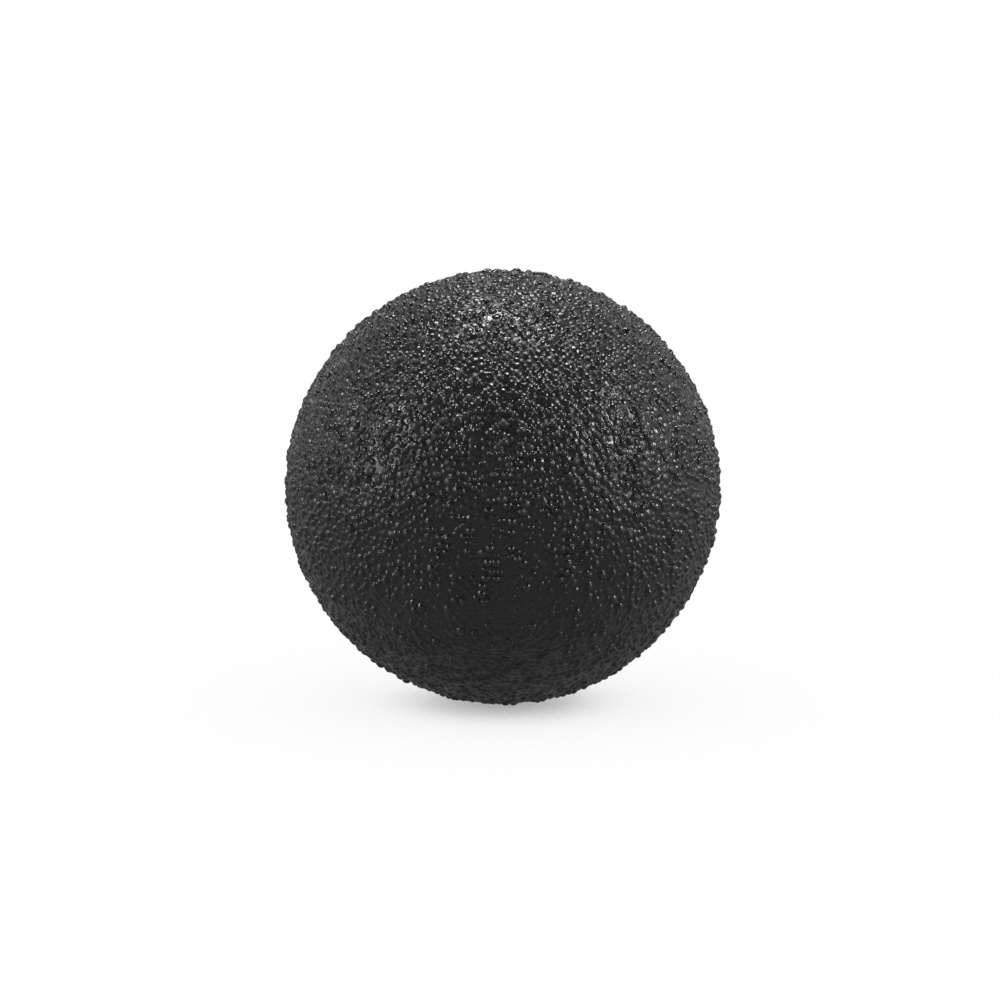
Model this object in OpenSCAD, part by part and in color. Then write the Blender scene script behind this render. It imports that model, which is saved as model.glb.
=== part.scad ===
// Case opening friction ball: a small inflatable rubber ball that a watchmaker presses on a
// screwed case back and turns by hand. A pebbled cover in two moulded halves is bonded over an
// airtight bladder, and a needle valve with a pull-out core sits at the back, along +Y.
// Millimetres, +Z up. The origin is on the bench, under the middle of the ball.

/* [Ball] */
// Diameter over the tops of the pebbles
ball_d = 65; // [60:1:70]
// How far the ball flattens under its own weight where it rests
rest_flat = 0.2; // [0.15:0.05:0.4]
// Thickness of the pebbled cover
cover_t = 2.2; // [2:0.1:2.6]
// Thickness of the airtight bladder
bladder_t = 0.8; // [0.6:0.1:1.2]
// Film of cement between two bonded layers
cement = 0.05; // [0.04:0.01:0.08]

/* [Bladder seam] */
// Width of the tape over the joint of the bladder halves
tape_w = 8; // [5:1:12]
// Thickness of the tape
tape_t = 0.5; // [0.4:0.1:0.8]

/* [Valve housing] */
// Diameter of the reinforcing patch on the inside of the bladder
patch_d = 30; // [26:1:36]
// Thickness of the reinforcing patch
patch_t = 0.5; // [0.4:0.1:0.8]
// Diameter of the flange that is bonded to the patch
flange_d = 22; // [18:1:24]
// Thickness of the flange
flange_t = 1; // [0.8:0.1:1.4]
// Diameter of the tube that holds the core
tube_d = 9; // [8.4:0.2:10]
// Distance from the flange to the inner end of the tube
tube_l = 14.8; // [14.8:0.2:18]
// Diameter of the air hole in the inner end of the tube
air_hole_d = 1.6; // [1:0.2:2.4]

/* [Valve core] */
// Diameter of the core's shank
core_d = 4.8; // [4.4:0.1:5]
// Diameter of the core's head
head_d = 6.2; // [5.8:0.1:6.6]
// Thickness of the core's head
head_t = 1; // [0.8:0.1:1.2]
// Length of the shank under the head
shank_l = 14.4; // [13:0.2:14.4]
// Radial clearance of the core in the housing
core_clear = 0.05; // [0.03:0.01:0.08]
// How far the head lies below the top of the ball's curve
head_recess = 0.8; // [0.6:0.1:1]
// Diameter of the needle hole
needle_d = 2.1; // [1.9:0.1:2.3]
// Depth of the needle hole from the head's face
needle_depth = 8; // [6:0.5:10]

/* [Hidden] */
$fn = 96;

// One layer under the other, as radii from the centre of the ball
ball_r = ball_d / 2;
bladder_r = ball_r - cover_t - cement;
lining_r = bladder_r - bladder_t - cement;
flange_r = lining_r - patch_t - cement;
centre_h = ball_r - rest_flat;
reach = 2 * ball_r;

// Stations along the valve's axis, measured from the centre of the ball
head_top = ball_r - head_recess;
head_seat = head_top - head_t;
neck_top = head_seat + head_t / 2;
shank_end = head_seat - shank_l;
tube_end = flange_r - tube_l;
bore_end = shank_end - 0.3;

tube_r = tube_d / 2;
root_r = tube_r + 2;
root_h = 2.5;
tube_chamfer = 0.8;
shank_r = core_d / 2;
tip_r = shank_r - 0.7;
tip_l = 1.2;
head_r = head_d / 2;
head_edge = 0.2;
port_r = head_r + 0.3;
port_edge = 0.3;
needle_r = needle_d / 2;
funnel_r = needle_r + 0.6;
funnel_h = 0.6;
groove_w = 1;
groove_depth = 0.3;
groove_pitch = 2.4;
grooves = 3;

pebbled_black = [0.07, 0.07, 0.07];
bladder_grey = [0.16, 0.16, 0.17];
tape_grey = [0.24, 0.24, 0.25];
patch_brown = [0.30, 0.26, 0.22];
valve_black = [0.11, 0.11, 0.12];
core_grey = [0.20, 0.20, 0.21];

// Puts a piece drawn round the Z axis at the ball's centre on the valve's axis
module along_valve() {
    translate([0, 0, centre_h]) rotate([-90, 0, 0]) children();
}

module shell(outer_r, thickness) {
    difference() {
        sphere(r = outer_r);
        sphere(r = outer_r - thickness);
    }
}

// The half of the space on the valve's side (1) or on the other side (-1) of the parting plane
module half_space(side) {
    translate([-reach, -reach, side > 0 ? 0 : -2 * reach]) cube(2 * reach);
}

module half_shell(outer_r, thickness, side) {
    intersection() {
        shell(outer_r, thickness);
        half_space(side);
    }
}

// A cap or a band of a shell with a hole for the valve's tube
module tube_hole() {
    cylinder(r = tube_r + cement, h = neck_top + cement);
}

// Everything above the bench
module above_bench() {
    translate([-reach, -reach, 0]) cube(2 * reach);
}

module front_cover() {
    color(pebbled_black) intersection() {
        along_valve() half_shell(ball_r, cover_t, -1);
        above_bench();
    }
}

module rear_cover() {
    color(pebbled_black) intersection() {
        along_valve() difference() {
            half_shell(ball_r, cover_t, 1);
            tube_hole();
            cylinder(r = port_r, h = reach);
            translate([0, 0, ball_r - 2 * port_edge])
                cylinder(r1 = port_r, r2 = port_r + 2 * port_edge, h = 2 * port_edge);
        }
        above_bench();
    }
}

module front_bladder() {
    color(bladder_grey) along_valve() half_shell(bladder_r, bladder_t, -1);
}

module rear_bladder() {
    color(bladder_grey) along_valve() difference() {
        half_shell(bladder_r, bladder_t, 1);
        tube_hole();
    }
}

module bladder_seam_tape() {
    color(tape_grey) along_valve() intersection() {
        shell(lining_r, tape_t);
        translate([0, 0, -tape_w / 2]) cylinder(r = ball_r, h = tape_w);
    }
}

module valve_patch() {
    color(patch_brown) along_valve() difference() {
        intersection() {
            shell(lining_r, patch_t);
            cylinder(r = patch_d / 2, h = ball_r);
        }
        tube_hole();
    }
}

module valve_housing() {
    flange_foot = sqrt(pow(flange_r - flange_t, 2) - pow(root_r, 2));
    color(valve_black) along_valve() difference() {
        union() {
            intersection() {
                shell(flange_r, flange_t);
                cylinder(r = flange_d / 2, h = ball_r);
            }
            translate([0, 0, tube_end + tube_chamfer])
                cylinder(r = tube_r, h = neck_top - tube_end - tube_chamfer);
            translate([0, 0, tube_end])
                cylinder(r1 = tube_r - tube_chamfer, r2 = tube_r, h = tube_chamfer);
            translate([0, 0, flange_foot - root_h])
                cylinder(r1 = tube_r, r2 = root_r, h = root_h);
        }
        translate([0, 0, bore_end]) cylinder(r = shank_r + core_clear, h = reach);
        translate([0, 0, head_seat]) cylinder(r = head_r + core_clear, h = reach);
        cylinder(d = air_hole_d, h = reach);
    }
}

module valve_core() {
    color(core_grey) along_valve() difference() {
        rotate_extrude() polygon([
            [0, shank_end], [tip_r, shank_end], [shank_r, shank_end + tip_l],
            [shank_r, head_seat], [head_r, head_seat],
            [head_r, head_top - head_edge], [head_r - head_edge, head_top], [0, head_top]
        ]);
        translate([0, 0, head_top - needle_depth]) cylinder(r = needle_r, h = reach);
        translate([0, 0, head_top - funnel_h])
            cylinder(r1 = needle_r, r2 = funnel_r, h = funnel_h);
        for (i = [1 : grooves]) translate([0, 0, shank_end + i * groove_pitch]) difference() {
            cylinder(r = shank_r + 1, h = groove_w);
            cylinder(r = shank_r - groove_depth, h = groove_w);
        }
    }
}

front_cover();
rear_cover();
front_bladder();
rear_bladder();
bladder_seam_tape();
valve_patch();
valve_housing();
valve_core();
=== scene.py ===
"""Looks of the case opening friction ball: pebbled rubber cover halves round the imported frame.

Lengths of the ball are in millimetres until to_room places a mesh's points, and in metres after.
"""

import math

import bpy
import numpy as np
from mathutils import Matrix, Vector, kdtree


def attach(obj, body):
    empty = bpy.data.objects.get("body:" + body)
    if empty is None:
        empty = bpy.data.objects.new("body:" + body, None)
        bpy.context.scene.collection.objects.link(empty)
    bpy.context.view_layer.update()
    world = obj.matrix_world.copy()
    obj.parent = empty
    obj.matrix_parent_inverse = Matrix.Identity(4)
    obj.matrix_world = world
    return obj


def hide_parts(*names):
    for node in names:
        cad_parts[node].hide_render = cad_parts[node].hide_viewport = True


MM = 0.001
TAU = 2 * math.pi

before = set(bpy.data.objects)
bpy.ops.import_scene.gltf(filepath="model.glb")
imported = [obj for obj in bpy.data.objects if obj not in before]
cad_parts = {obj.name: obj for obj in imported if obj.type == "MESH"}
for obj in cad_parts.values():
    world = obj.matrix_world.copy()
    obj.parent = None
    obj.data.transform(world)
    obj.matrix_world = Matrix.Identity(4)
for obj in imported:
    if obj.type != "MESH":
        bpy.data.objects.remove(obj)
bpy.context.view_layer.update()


def scene_camera():
    """The camera looks along +Y and a little down, and puts the ball where the picture has it."""
    tilt = math.radians(10)
    distance, width_there = 0.9, 0.1482
    lower, left = 0.00193, 0.00042  # from the ball's centre to the middle of the view
    up = Vector((0, math.sin(tilt), math.cos(tilt)))
    back = Vector((0, -math.cos(tilt), math.sin(tilt)))
    aim = CENTRE - lower * up - Vector((left, 0, 0))
    data = bpy.data.cameras.new("camera")
    data.sensor_width = 36
    data.lens = data.sensor_width * distance / width_there
    data.clip_start, data.clip_end = 0.05, 50
    camera = bpy.data.objects.new("camera", data)
    bpy.context.scene.collection.objects.link(camera)
    camera.location = aim + distance * back
    camera.rotation_euler = (-back).to_track_quat("-Z", "Y").to_euler()
    bpy.context.scene.camera = camera


# ---------------------------------------------------------------- the ball's sizes, as in the CAD

BALL_R = 32.5  # over the pebble tops
CENTRE_H = 32.3
INNER_R = 30.3  # the cover's bonding face
NECK_R = 4.55  # hole for the valve's tube
NECK_TOP = 31.25
PORT_R = 3.4
CENTRE = Vector((0, 0, CENTRE_H * MM))

SEEDS = 11800
GOLDEN_TURN = 0.381966
SHAKE = 1.1  # how far the first even spread is upset
PUSHES, PUSH = 7, 0.3  # how often pebbles are pushed apart, and by what share of their overlap
ROOM_LEAST, ROOM_SPAN = 0.66, 0.98  # widths that the pebbles want
PEBBLE_LOW, PEBBLE_H = 0.1, 0.6  # lowest and tallest pebble over the ground
SWELL = 0.03  # what is left above the tallest pebble for the ground's slow waves
GROUND_R = BALL_R - PEBBLE_H - SWELL
BOSS_R, BOSS_FOOT = 5.0, 0.45  # plain ring round the valve, and the width of its slope
SEAM_HALF, SEAM_FOOT = 0.1, 0.25  # half width of the parting line, and the width of its slope
LIP_R = 3.86  # where the port's rounded lip begins
LIP = ((3.78, 32.262), (3.72, 32.215), (3.46, 31.965), (3.415, 31.90), (PORT_R, 31.82))
PORT_WALL = ((PORT_R, NECK_TOP), (NECK_R, NECK_TOP), (NECK_R, 30.4))

HALF = 256  # cells from the middle of a lattice side to its edge
STEP = 8  # lattice cells of the outer face to one of the inner face
PORT_CELLS = 28  # half width of the hole in the lattice at the port

# Left, low and width of each face's square in the UV map, and the strips above them
OUTER_UV, INNER_UV = (0.005, 0.005, 0.85), (0.865, 0.005, 0.13)
STRIP_LEFT, STRIP_LENGTH, STRIP_H = 0.005, 0.84, 0.009
JOINT_LOW, JOINT_HIGH, PORT_HIGH = 0.87, 0.90, 0.99

rng = np.random.default_rng(11)


# ---------------------------------------------------------------- pebbles

def unit(v):
    return v / np.linalg.norm(v, axis=-1, keepdims=True)


def tree_of(points):
    tree = kdtree.KDTree(len(points))
    for i, p in enumerate(points.tolist()):
        tree.insert(p, i)
    tree.balance()
    return tree


def neighbours(points, count):
    """Indices of each point's nearest other points."""
    tree = tree_of(points)
    near = [[hit[1] for hit in tree.find_n(p, count + 1)] for p in points.tolist()]
    return np.array(near)[:, 1:]


def spread_seeds():
    """Points all over the ball, shaken up and pushed apart to the width that each one wants."""
    step = np.arange(SEEDS) + 0.5
    turn, height = step * (TAU * GOLDEN_TURN), 1 - 2 * step / SEEDS
    flat = np.sqrt(1 - height ** 2)
    seeds = np.column_stack([flat * np.cos(turn), height, flat * np.sin(turn)]) * BALL_R
    seeds = unit(seeds + rng.normal(0, SHAKE, (SEEDS, 3))) * BALL_R
    room = ROOM_LEAST + ROOM_SPAN * rng.random((SEEDS, 1))
    for _ in range(PUSHES):
        near = neighbours(seeds, 7)
        gap = seeds[:, None] - seeds[near]
        far = np.linalg.norm(gap, axis=2, keepdims=True) + 1e-6
        push = gap / far * np.clip((room[:, None] + room[near]) / 2 - far, 0, None)
        seeds = unit(seeds + PUSH * push.sum(1)) * BALL_R
    return fill_bare(seeds, room[:, 0])


def fill_bare(seeds, room):
    """Adds a small pebble wherever a spot of the ball is left without one."""
    tries, widest_gap, apart = 40000, 0.32, 0.75
    tree, added = tree_of(seeds), []
    for spot in (unit(rng.normal(size=(tries, 3))) * BALL_R).tolist():
        _, nearest, away = tree.find(spot)
        bare = away - 0.45 * room[nearest] > widest_gap
        if bare and all(math.dist(spot, other) > apart for other in added):
            added.append(spot)
    small = 0.72 + 0.3 * rng.random(len(added))
    return np.vstack([seeds, np.reshape(added, (-1, 3))]), np.concatenate([room, small])


def waves(points, count, shortest, longest):
    """A smooth random field of about unit size over the ball: count plane waves, lengths in mm."""
    draw = np.random.default_rng(count)
    total = np.zeros(len(points))
    for _ in range(count):
        way = unit(draw.normal(size=3))
        length = draw.uniform(shortest, longest)
        total += np.sin(points @ way * (TAU / length) + draw.uniform(0, TAU))
    return total / math.sqrt(count / 2)


class Pebbles:
    """The height of the cover's face over its ground: round domes that melt into one another."""

    part_size = 60000  # ways that are read at once, to save memory
    melt = 0.045  # mm over which a dome's foot turns into the ground
    fall = 1.5  # how steeply a dome goes on down outside its own foot
    feet, fine, slow = 0.010, 0.007, 0.035  # heights of the waves between, on and under the domes

    def __init__(self):
        self.seeds, room = spread_seeds()
        count = len(self.seeds)
        self.around = np.hstack([np.arange(count)[:, None], neighbours(self.seeds, 11)])
        self.radius = room * rng.uniform(0.41, 0.50, count)
        size = (room - room.min()) / (room.max() - room.min())
        steep = 0.19 + 0.12 * size + 0.64 * rng.random(count) ** 1.8
        self.height = (self.radius * steep).clip(PEBBLE_LOW, PEBBLE_H)
        self.bend = (self.radius ** 2 + self.height ** 2) / (2 * self.height)
        self.tone = rng.random(count)
        self.grain_way = unit(np.cross(self.seeds, rng.normal(size=(count, 3))))
        self.stretch = rng.uniform(-0.3, 0.35, count)
        off_axis = np.hypot(self.seeds[:, 0], self.seeds[:, 2])
        on_boss = (off_axis < BOSS_R + 0.4) & (self.seeds[:, 1] > 0)
        self.radius[on_boss] = -1
        self.tree = tree_of(self.seeds)

    def read(self, ways):
        """Radius, share of the pebble's height and the pebble's own random number for each way."""
        radius, rise, tone = [], [], []
        for part in np.array_split(ways, max(1, len(ways) // self.part_size)):
            for whole, piece in zip((radius, rise, tone), self.read_part(part)):
                whole.append(piece)
        return np.concatenate(radius), np.concatenate(rise), np.concatenate(tone)

    def read_part(self, ways):
        at = ways * BALL_R
        near = self.around[np.array([self.tree.find(p)[1] for p in at.tolist()])]
        gap = self.seeds[near] - at[:, None]
        along = (gap * self.grain_way[near]).sum(2)
        off = np.sqrt((gap ** 2).sum(2) + self.stretch[near] * along ** 2)
        past = off - self.radius[near]
        bend = self.bend[near]
        domes = np.sqrt(np.maximum(bend ** 2 - off ** 2, 0)) - bend + self.height[near]
        domes = np.where(past > 0, -self.fall * past, domes)
        own = near[np.arange(len(at)), domes.argmax(1)]
        up = self.melt * np.log(1 + np.exp(domes.clip(-1, 1) / self.melt).sum(1))
        low = np.exp(-up / 0.08)
        up += self.feet * low * waves(at, 36, 0.6, 1.4) + self.fine * waves(at, 40, 0.4, 0.9)
        up = (up + self.slow * waves(at, 20, 1.5, 4)).clip(0, PEBBLE_H + SWELL)
        off_seam = ((np.abs(at[:, 1]) - SEAM_HALF) / SEAM_FOOT).clip(0, 1)
        up = up * off_seam * off_seam * (3 - 2 * off_seam)
        off_axis = np.hypot(at[:, 0], at[:, 2])
        boss = ((BOSS_R - off_axis) / BOSS_FOOT).clip(0, 1) * (at[:, 1] > 0)
        up = np.maximum(up, boss * boss * (3 - 2 * boss) * (BALL_R - GROUND_R))
        return GROUND_R + up, up / PEBBLE_H, self.tone[own]


# ---------------------------------------------------------------- meshes

class Maker:
    """Collects points and faces, then writes one mesh."""

    def __init__(self):
        self.points, self.values, self.count = [], [], 0
        self.corners, self.sizes, self.uvs, self.sharp = [], [], [], []

    def add_points(self, xyz, rise, tone=0.5):
        first = self.count
        self.count += len(xyz)
        self.points.append(xyz)
        self.values.append(np.column_stack([np.broadcast_to(v, len(xyz)) for v in (rise, tone)]))
        return np.arange(first, self.count)

    def add_faces(self, corners, uv, flip=False):
        """corners is faces by corners, uv is faces by corners by 2."""
        if flip:
            corners, uv = corners[:, ::-1], uv[:, ::-1]
        self.corners.append(corners.reshape(-1))
        self.sizes.append(np.full(len(corners), corners.shape[1]))
        self.uvs.append(uv.reshape(-1, 2))

    def add_sharp(self, ring):
        """Marks the edges along a closed ring of points as sharp."""
        self.sharp.append(np.sort(np.column_stack([ring, np.roll(ring, -1)]), axis=1))

    def write(self, name):
        points = np.concatenate(self.points)
        corners = np.concatenate(self.corners)
        sizes = np.concatenate(self.sizes)
        mesh = bpy.data.meshes.new(name)
        mesh.vertices.add(len(points))
        mesh.vertices.foreach_set("co", points.astype(np.float32).ravel())
        mesh.loops.add(len(corners))
        mesh.loops.foreach_set("vertex_index", corners.astype(np.int32))
        mesh.polygons.add(len(sizes))
        mesh.polygons.foreach_set("loop_start", (np.cumsum(sizes) - sizes).astype(np.int32))
        mesh.update(calc_edges=True)
        mesh.polygons.foreach_set("use_smooth", np.ones(len(sizes), bool))
        layer = mesh.uv_layers.new(name="OFBake")
        layer.data.foreach_set("uv", np.concatenate(self.uvs).astype(np.float32).ravel())
        values = np.concatenate(self.values)
        for i, label in enumerate(("pebble_rise", "pebble_tone")):
            attribute = mesh.attributes.new(label, "FLOAT", "POINT")
            attribute.data.foreach_set("value", values[:, i].astype(np.float32))
        edges = np.empty(len(mesh.edges) * 2, np.int32)
        mesh.edges.foreach_get("vertices", edges)
        edges = np.sort(edges.reshape(-1, 2).astype(np.int64), axis=1)
        wanted = np.concatenate(self.sharp).astype(np.int64)
        flags = np.isin(edges @ [self.count, 1], wanted @ [self.count, 1])
        mesh.edges.foreach_set("use_edge_sharp", flags)
        mesh.update()
        made = bpy.data.objects.new(name, mesh)
        bpy.context.scene.collection.objects.link(made)
        return made


def square_ring(q):
    """The lattice points round a square of half width q, from +x towards +z."""
    side = np.arange(-q, q)
    full = np.full(2 * q, q)
    i = np.concatenate([full, -side, -full, side])
    k = np.concatenate([side, full, -side, -full])
    return np.roll(i, -q), np.roll(k, -q)


def lattice(maker, half, place, uv_box, hole, flip):
    """Half a ball as a cube lattice: four half sides and a cap, with a square hole unless it is 0.

    place turns ways on the unit half ball (y up) into points and their two values. Returns the
    ring of points on the parting plane, and the ring round the hole.
    """
    def stretch(t):
        return np.tan(math.pi / 4 * t / half)

    ring_i, ring_k = square_ring(half)
    rows = np.arange(half + 1)
    side_way = np.stack(np.broadcast_arrays(
        stretch(ring_i)[None, :], stretch(rows)[:, None], stretch(ring_k)[None, :]), axis=2)
    span = np.arange(-half, half + 1)
    grid_i, grid_k = np.meshgrid(span, span, indexing="ij")
    reach = np.maximum(abs(grid_i), abs(grid_k))
    inside = (reach < half) & (reach >= hole)
    cap_x, cap_z = stretch(grid_i[inside]), stretch(grid_k[inside])
    cap_way = np.column_stack([cap_x, np.ones(inside.sum()), cap_z])
    side_reach = np.full(side_way.shape[:2], half)
    side_points = maker.add_points(*place(unit(side_way.reshape(-1, 3)), side_reach.ravel()))
    side_index = side_points.reshape(side_reach.shape)
    cap_index = np.full(grid_i.shape, -1)
    cap_index[inside] = maker.add_points(*place(unit(cap_way), reach[inside]))
    cap_index[ring_i + half, ring_k + half] = side_index[half]

    left, low, width = uv_box

    def flat(i, k, shrink):
        across, along = (0.5 + n * shrink / (4 * half) for n in (i, k))
        return np.stack([left + width * across, low + width * along], axis=-1)

    grow = (2 * half - rows) / half
    side_uv = flat(ring_i[None, :], ring_k[None, :], grow[:, None])
    nxt = np.roll(np.arange(8 * half), -1)
    side_faces, side_face_uv = (
        np.stack([grid[:-1], grid[1:], grid[1:][:, nxt], grid[:-1][:, nxt]], axis=2)
        for grid in (side_index, side_uv))
    maker.add_faces(side_faces.reshape(-1, 4), side_face_uv.reshape(-1, 4, 2), flip)
    cells, cell_uv = (
        np.stack([grid[:-1, :-1], grid[:-1, 1:], grid[1:, 1:], grid[1:, :-1]], axis=2)
        for grid in (cap_index, flat(grid_i, grid_k, 1.0)))
    cell_i, cell_k = np.meshgrid(span[:-1], span[:-1], indexing="ij")
    kept = ~((cell_i >= -hole) & (cell_i < hole) & (cell_k >= -hole) & (cell_k < hole))
    maker.add_faces(cells[kept], cell_uv[kept], flip)
    if not hole:
        return side_index[0], None
    hole_i, hole_k = square_ring(hole)
    return side_index[0], cap_index[hole_i + half, hole_k + half]


def band(maker, upper, lower, low, high):
    """Squares between two rings of as many points."""
    count = len(upper)
    u0 = STRIP_LEFT + STRIP_LENGTH * np.arange(count) / count
    u1 = STRIP_LEFT + STRIP_LENGTH * (np.arange(count) + 1) / count
    faces = np.column_stack([upper, lower, np.roll(lower, -1), np.roll(upper, -1)])
    corners = ((u0, high), (u0, low), (u1, low), (u1, high))
    uv = np.stack([np.column_stack([u, np.full(count, v)]) for u, v in corners], axis=1)
    maker.add_faces(faces, uv)


def fan_band(maker, outer, inner, low, high, flip=False):
    """Triangles from a ring of several points per step to a ring of one point per step."""
    per = len(outer) // len(inner)
    turn = per // 2
    faces, uv = [], []
    total = len(outer)
    for step in range(len(inner)):
        a, b = inner[step], inner[(step + 1) % len(inner)]
        ua, ub = step * per / total, (step + 1) * per / total
        for t in range(per):
            n = step * per + t
            foot, u = (a, ua) if t < turn else (b, ub)
            faces.append((outer[n], outer[(n + 1) % total], foot))
            uv.append(((n / total, high), ((n + 1) / total, high), (u, low)))
        faces.append((outer[step * per + turn], b, a))
        uv.append((((step * per + turn) / total, high), (ub, low), (ua, low)))
    uv = np.array(uv)
    uv[..., 0] = STRIP_LEFT + STRIP_LENGTH * uv[..., 0]
    maker.add_faces(np.array(faces), uv, flip)


def cover_half(name, side, pebbles):
    """One moulded half of the cover: pebbled outside, plain bonding face inside."""
    maker = Maker()
    flip = side < 0
    port = PORT_CELLS if side > 0 else 0
    step_mm = BALL_R * math.pi / 4 / HALF
    inner_port = port // (STEP - 1)

    def to_room(points):
        points = points * (1, side, 1)
        points[:, 2] += CENTRE_H
        points[:, 2] = np.maximum(points[:, 2], 0)
        return points * MM

    def round_port(ways, reach, ball_r, first, ring_r, grain, rows):
        """Draws the square rings near the port into circles, less and less over some rows."""
        spacing = 1.12  # between the circles, in cells
        near_axis = ways[:, 1] > 0.9
        off = np.hypot(ways[:, 0], ways[:, 2])
        share = (1 - (reach - first) / rows).clip(0, 1)
        share = share * share * (3 - 2 * share)
        circle = (ring_r + (reach - first) * grain * spacing) / ball_r
        share = np.where(near_axis, share, 0)
        new = off + share * (circle - off)
        scale = np.where(off > 0, new / np.maximum(off, 1e-9), 1)
        x, z = ways[:, 0] * scale, ways[:, 2] * scale
        rounded = np.column_stack([x, np.sqrt(np.maximum(1 - x * x - z * z, 0)), z])
        return np.where(share[:, None] > 0, rounded, ways)

    def outside(ways, reach):
        if port:
            ways = round_port(ways, reach, BALL_R, port, LIP_R, step_mm, port // 2 + 8)
        radius, rise, tone = pebbles.read(ways * (1, side, 1))
        return to_room(ways * radius[:, None]), rise, tone

    def inside(ways, reach):
        if port:
            ways = round_port(ways, reach, INNER_R, inner_port, NECK_R, step_mm * STEP, 4)
        return to_room(ways * INNER_R), 0.0, 0.5

    outer_edge, rim = lattice(maker, HALF, outside, OUTER_UV, port, flip)
    inner_edge, neck = lattice(maker, HALF // STEP, inside, INNER_UV, inner_port, not flip)
    fan_band(maker, outer_edge, inner_edge, JOINT_LOW, JOINT_HIGH, flip)
    maker.add_sharp(outer_edge)
    maker.add_sharp(inner_edge)
    if port:
        ring_i, ring_k = square_ring(port)
        turn = np.arctan2(np.tan(math.pi / 4 * ring_k / HALF), np.tan(math.pi / 4 * ring_i / HALF))
        last, high = rim, PORT_HIGH
        for r, y in LIP + PORT_WALL:
            circle = np.column_stack([r * np.cos(turn), np.full(len(turn), y), r * np.sin(turn)])
            ring = maker.add_points(to_room(circle), 1.0)
            band(maker, last, ring, high - STRIP_H, high)
            if (r, y) in PORT_WALL[:2]:
                maker.add_sharp(ring)
            last, high = ring, high - STRIP_H
        fan_band(maker, last, neck, high - STRIP_H, high, True)
        maker.add_sharp(neck)
    return maker.write(name)


# ---------------------------------------------------------------- materials

class Nodes:
    """A short way to write a material's nodes."""

    def __init__(self, name):
        self.material = bpy.data.materials.new(name)
        self.material.use_nodes = True
        self.tree = self.material.node_tree
        self.shader = self.tree.nodes["Principled BSDF"]

    def add(self, kind, settings=(), **sockets):
        node = self.tree.nodes.new(kind)
        for key, value in dict(settings).items():
            setattr(node, key, value)
        for key, value in sockets.items():
            self.feed(node, key.replace("_", " "), value)
        return node

    def feed(self, node, socket, value):
        place = node.inputs[socket]
        if isinstance(value, bpy.types.NodeSocket):
            self.tree.links.new(value, place)
        else:
            place.default_value = value

    def coordinates(self):
        return self.add("ShaderNodeTexCoord").outputs["Object"]

    def noise(self, scale, detail=3.0, rough=0.55):
        node = self.add("ShaderNodeTexNoise", Vector=self.coordinates(), Scale=scale,
                        Detail=detail, Roughness=rough)
        return node.outputs["Fac"]

    def spread(self, value, low, high, to_low, to_high):
        node = self.add("ShaderNodeMapRange")
        for n, v in enumerate((value, low, high, to_low, to_high)):
            self.feed(node, n, v)
        return node.outputs["Result"]

    def math(self, operation, a, b=0.0):
        node = self.add("ShaderNodeMath", {"operation": operation})
        self.feed(node, 0, a)
        self.feed(node, 1, b)
        return node.outputs[0]

    def axes(self):
        split = self.add("ShaderNodeSeparateXYZ", Vector=self.coordinates())
        return split.outputs[0], split.outputs[1], split.outputs[2]

    def weave(self, along, across, pitch):
        """A plain weave's height from 0 to 1, and which of the two threads lies on top."""
        turns = [self.math("MULTIPLY", way, math.pi / pitch) for way in (along, across)]
        side = self.math("MULTIPLY", *[self.math("SINE", turn) for turn in turns])
        return self.math("POWER", self.math("ABSOLUTE", side), 0.6), side

    def mix(self, share, a, b):
        node = self.add("ShaderNodeMix", {"data_type": "RGBA"})
        self.feed(node, 0, share)
        self.feed(node, 6, a)
        self.feed(node, 7, b)
        return node.outputs[2]

    def attribute(self, name):
        return self.add("ShaderNodeAttribute", {"attribute_name": name}).outputs["Fac"]

    def bump(self, height, strength, distance):
        node = self.add("ShaderNodeBump", Height=height, Strength=strength, Distance=distance)
        self.feed(self.shader, "Normal", node.outputs["Normal"])

    def set(self, **sockets):
        for key, value in sockets.items():
            self.feed(self.shader, key.replace("_", " "), value)
        return self.material


def grey(level, warm=0.0):
    """A grey, or one whose red is up and blue down by the share warm."""
    return (level * (1 + warm), level, level * (1 - warm), 1)


def pebbled_rubber():
    n = Nodes("pebbled_rubber")
    rise, tone = n.attribute("pebble_rise"), n.attribute("pebble_tone")
    patches = n.noise(170, 2)
    grain = n.noise(5200, 2)
    base = n.mix(n.spread(patches, 0.3, 0.7, 0, 1), grey(0.006), grey(0.010))
    # painted shade: the base colour is lighter on the pebble tops and darker in the valleys
    # between them, more on some pebbles than on others
    painted_shade_or_soaked = n.mix(n.math("MULTIPLY", n.spread(rise, 0.3, 0.9, 0, 0.9), tone), base, grey(0.026))
    dusty = n.spread(n.noise(60, 3), 0.45, 0.7, 0, 1)
    dust = n.math("MULTIPLY", n.spread(rise, 0.35, 0, 0, 0.35), dusty)
    colour = n.mix(dust, painted_shade_or_soaked, grey(0.011))
    rough = n.math("ADD", n.spread(rise, 0, 1, 0.24, 0.19), n.spread(grain, 0.3, 0.7, -0.02, 0.03))
    own_gloss = n.spread(n.math("POWER", tone, 1.4), 0, 1, -0.05, 0.30)
    rough = n.math("ADD", rough, n.math("MULTIPLY", n.spread(rise, 0, 0.5, 0.2, 1), own_gloss))
    n.bump(grain, 0.35, 0.00002)
    return n.set(Base_Color=colour, Roughness=rough, Specular_IOR_Level=0.5)


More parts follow.
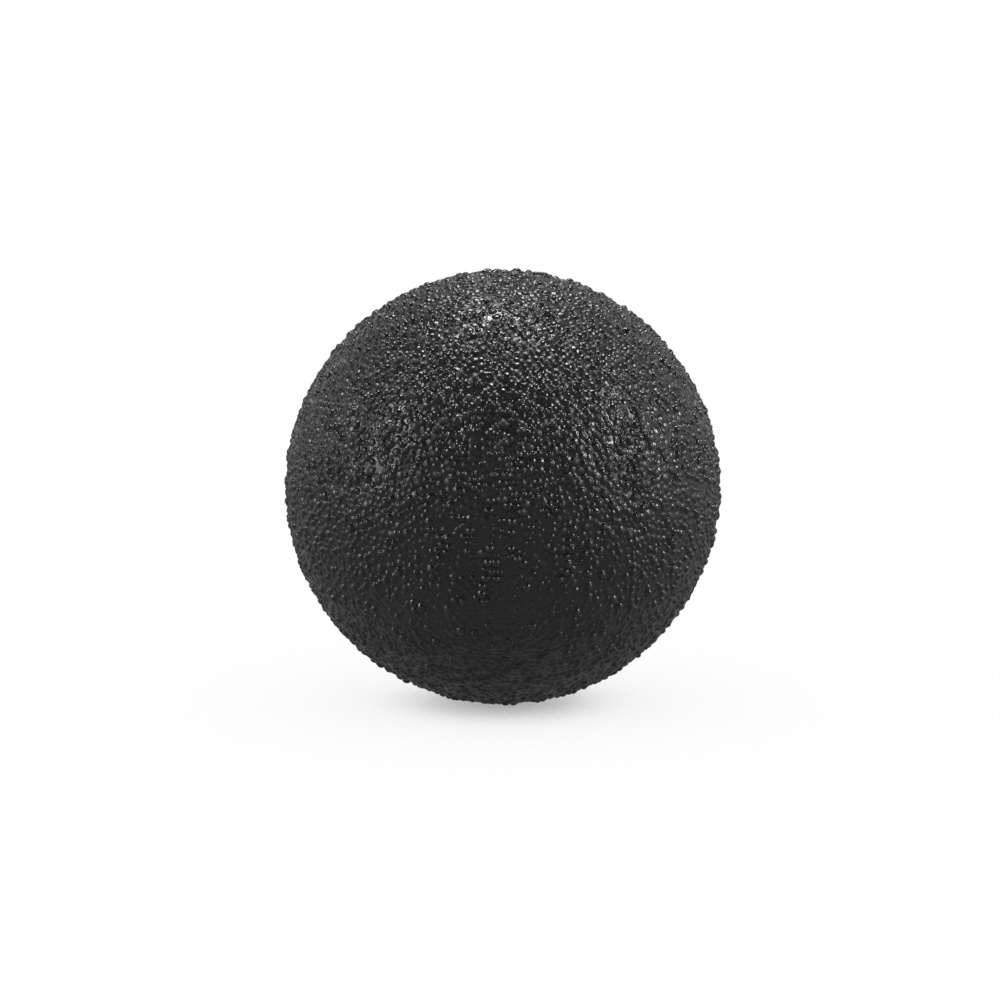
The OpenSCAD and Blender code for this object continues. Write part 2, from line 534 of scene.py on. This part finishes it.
def bladder_rubber():
    """Butyl rubber with the talc that is left from moulding."""
    n = Nodes("bladder_rubber")
    cloud, grain = n.noise(140, 4), n.noise(2600, 3)
    base = n.mix(n.spread(cloud, 0.3, 0.7, 0, 1), grey(0.042), grey(0.060, -0.01))
    specks = n.spread(n.noise(900, 5, 0.7), 0.5, 0.72, 0, 0.6)
    talc = n.math("MULTIPLY", specks, n.spread(cloud, 0.45, 0.7, 0.2, 1))
    n.bump(grain, 0.3, 0.00003)
    rough = n.spread(grain, 0.3, 0.7, 0.5, 0.72)
    return n.set(Base_Color=n.mix(talc, base, grey(0.19)), Roughness=rough, Specular_IOR_Level=0.4)


def seam_tape():
    """A calendered rubber strip that carries the print of its cloth liner."""
    n = Nodes("seam_tape")
    tape_r, pitch = 0.0291, 0.0006
    x, y, z = n.axes()
    turn = n.math("ARCTAN2", n.math("SUBTRACT", z, CENTRE_H * MM), x)
    print_height, _ = n.weave(n.math("MULTIPLY", turn, tape_r), y, pitch)
    dull = n.noise(700, 4)
    base = n.mix(n.spread(dull, 0.3, 0.7, 0, 1), grey(0.066), grey(0.092, -0.01))
    n.bump(print_height, 0.5, 0.00006)
    colour = n.mix(n.spread(print_height, 0.5, 0, 0, 0.4), base, grey(0.13))
    rough = n.spread(dull, 0.3, 0.7, 0.62, 0.8)
    return n.set(Base_Color=colour, Roughness=rough, Specular_IOR_Level=0.3)


def patch_fabric():
    """Cotton duck soaked with rubber: threads over and under, with rubber in the gaps."""
    n = Nodes("patch_fabric")
    x, _, z = n.axes()
    thread, side = n.weave(x, z, 0.00045)
    slub = n.noise(1800, 4)
    weft, warp = (0.150, 0.126, 0.102, 1), (0.185, 0.160, 0.132, 1)
    soaked, rubber_gap = (0.105, 0.092, 0.078, 1), (0.045, 0.040, 0.036, 1)
    cotton = n.mix(n.spread(side, -0.1, 0.1, 0, 1), weft, warp)
    painted_shade_or_soaked = n.mix(n.spread(slub, 0.35, 0.7, 0, 0.5), cotton, soaked)
    n.bump(n.math("ADD", thread, n.math("MULTIPLY", slub, 0.3)), 0.7, 0.00010)
    colour = n.mix(n.spread(thread, 0.35, 0, 0, 0.9), painted_shade_or_soaked, rubber_gap)
    rough = n.spread(thread, 0, 1, 0.62, 0.85)
    return n.set(Base_Color=colour, Roughness=rough, Specular_IOR_Level=0.3)


def valve_rubber():
    """Moulded rubber, with the faint flow marks of the mould."""
    n = Nodes("valve_rubber")
    flow, grain = n.noise(500, 4), n.noise(4200, 2)
    n.bump(grain, 0.3, 0.00002)
    base = n.mix(n.spread(flow, 0.3, 0.7, 0, 1), grey(0.028), grey(0.042))
    fine = n.spread(grain, 0.3, 0.7, -0.03, 0.03)
    rough = n.math("ADD", n.spread(flow, 0.3, 0.7, 0.40, 0.52), fine)
    return n.set(Base_Color=base, Roughness=rough, Specular_IOR_Level=0.45)


def core_rubber():
    """Softer grey rubber: fine filler specks, and patches of the grease it is fitted with."""
    n = Nodes("core_rubber")
    flow, grain = n.noise(650, 4), n.noise(5200, 2)
    specks = n.spread(n.noise(4200, 1), 0.60, 0.70, 0, 0.6)
    base = n.mix(n.spread(flow, 0.3, 0.7, 0, 1), grey(0.032), grey(0.060, -0.01))
    n.bump(grain, 0.35, 0.00002)
    fine = n.spread(grain, 0.3, 0.7, -0.03, 0.03)
    rough = n.math("ADD", n.spread(flow, 0.42, 0.62, 0.32, 0.50), fine)
    colour = n.mix(specks, base, grey(0.13))
    return n.set(Base_Color=colour, Roughness=rough, Specular_IOR_Level=0.5)


# ---------------------------------------------------------------- stage, lights and world

def stage():
    """A white floor just under the ball, which glows, less where the ball covers its sky: a
    painted contact shadow.
    """
    size, level = 3.0, -2e-5
    mesh = bpy.data.meshes.new("floor")
    corners = [(x * size, y * size, level) for x, y in ((-1, -1), (1, -1), (1, 1), (-1, 1))]
    mesh.from_pydata(corners, [], [(0, 1, 2, 3)])
    floor = bpy.data.objects.new("floor", mesh)
    bpy.context.scene.collection.objects.link(floor)
    n = Nodes("floor_white_painted_shadow")
    # painted shadow: the glow follows the ambient occlusion through the stops below, not the lamps
    open_sky = n.add("ShaderNodeAmbientOcclusion", {"samples": 8}, Distance=0.4).outputs["AO"]
    shade = n.add("ShaderNodeValToRGB", Fac=open_sky)
    stops = shade.color_ramp.elements
    stops[0].position, stops[0].color = 0, grey(0.36)
    stops[1].position, stops[1].color = 1, grey(1.0)
    between = (0.05, 0.42), (0.13, 0.57), (0.24, 0.86), (0.40, 0.925), (0.62, 0.965), (0.85, 0.995)
    for share, brightness in between:
        stops.new(share).color = grey(brightness)
    seen = n.add("ShaderNodeLightPath").outputs["Is Camera Ray"]
    strength = n.spread(seen, 0, 1, 0.38, 1.0)
    glow = n.add("ShaderNodeEmission", Color=shade.outputs["Color"], Strength=strength)
    out = next(node for node in n.tree.nodes if node.type == "OUTPUT_MATERIAL")
    n.tree.links.new(glow.outputs["Emission"], out.inputs["Surface"])
    mesh.materials.append(n.material)


def softbox(name, way, width, height, radiance, distance=0.7):
    """A panel that faces the ball and gives the same radiance whatever its size."""
    data = bpy.data.lights.new(name, "AREA")
    data.shape = "RECTANGLE"
    data.size, data.size_y = width, height
    data.energy = radiance * width * height * math.pi
    lamp = bpy.data.objects.new(name, data)
    bpy.context.scene.collection.objects.link(lamp)
    way = Vector(way).normalized()
    lamp.location = CENTRE + way * distance
    lamp.rotation_euler = way.to_track_quat("Z", "Y").to_euler()
    lamp.visible_camera = False


def lights():
    softbox("softbox_top", (0.0, 0.27, 0.96), 0.22, 0.15, 33)
    softbox("softbox_right", (0.81, -0.22, 0.55), 0.17, 0.17, 30)
    softbox("softbox_left", (-0.82, -0.25, 0.51), 0.17, 0.19, 18)
    softbox("low_right", (0.93, -0.32, 0.12), 0.14, 0.12, 8)
    softbox("low_left", (-0.93, -0.32, 0.12), 0.14, 0.12, 8)


def surroundings():
    """White to the camera. To all else, a dim studio, brightest round its horizon and at +Y."""
    world = bpy.data.worlds.new("studio")
    bpy.context.scene.world = world
    world.use_nodes = True
    tree = world.node_tree
    tree.nodes.clear()
    out = tree.nodes.new("ShaderNodeOutputWorld")
    seen = tree.nodes.new("ShaderNodeBackground")
    seen.inputs["Color"].default_value = grey(1.0)
    seen.inputs["Strength"].default_value = 1.0
    dim = tree.nodes.new("ShaderNodeBackground")
    ramp = tree.nodes.new("ShaderNodeValToRGB")
    stops = ramp.color_ramp.elements
    stops[0].position, stops[0].color = 0, grey(0.26)
    stops[1].position, stops[1].color = 1, grey(0.10)
    for height, level in ((-0.6, 0.50), (0, 0.57), (0.25, 0.49), (0.5, 0.21), (0.8, 0.10)):
        stops.new((height + 1) / 2).color = grey(level)
    front = tree.nodes.new("ShaderNodeMapRange")
    for n, value in enumerate((-1, 1, 0.8, 1.7)):
        front.inputs[n + 1].default_value = value
    place = tree.nodes.new("ShaderNodeTexCoord")
    split = tree.nodes.new("ShaderNodeSeparateXYZ")
    lift = tree.nodes.new("ShaderNodeMapRange")
    lift.inputs["From Min"].default_value = -1
    lift.inputs["From Max"].default_value = 1
    path = tree.nodes.new("ShaderNodeLightPath")
    blend = tree.nodes.new("ShaderNodeMixShader")
    tree.links.new(place.outputs["Generated"], split.inputs[0])
    tree.links.new(split.outputs["Z"], lift.inputs["Value"])
    tree.links.new(lift.outputs["Result"], ramp.inputs["Fac"])
    tree.links.new(ramp.outputs["Color"], dim.inputs["Color"])
    tree.links.new(split.outputs["Y"], front.inputs["Value"])
    tree.links.new(front.outputs["Result"], dim.inputs["Strength"])
    tree.links.new(path.outputs["Is Camera Ray"], blend.inputs["Fac"])
    tree.links.new(dim.outputs[0], blend.inputs[1])
    tree.links.new(seen.outputs[0], blend.inputs[2])
    tree.links.new(blend.outputs[0], out.inputs["Surface"])
    bpy.context.scene.view_settings.view_transform = "Standard"


# ---------------------------------------------------------------- the scene

scene_camera()
stage()
lights()
surroundings()

pebbles = Pebbles()
rubber = pebbled_rubber()
for name, side, node in (("front_cover_pebbled", -1, "front_cover"),
                         ("rear_cover_pebbled", 1, "rear_cover")):
    piece = cover_half(name, side, pebbles)
    piece.data.materials.append(rubber)
    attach(piece, "ball")
    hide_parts(node)

butyl = bladder_rubber()
looks = {"front_bladder": butyl, "rear_bladder": butyl,
         "bladder_seam_tape": seam_tape(), "valve_patch": patch_fabric(),
         "valve_housing": valve_rubber(), "valve_core": core_rubber()}
for node, look in looks.items():
    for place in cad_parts[node].material_slots:
        place.material = look
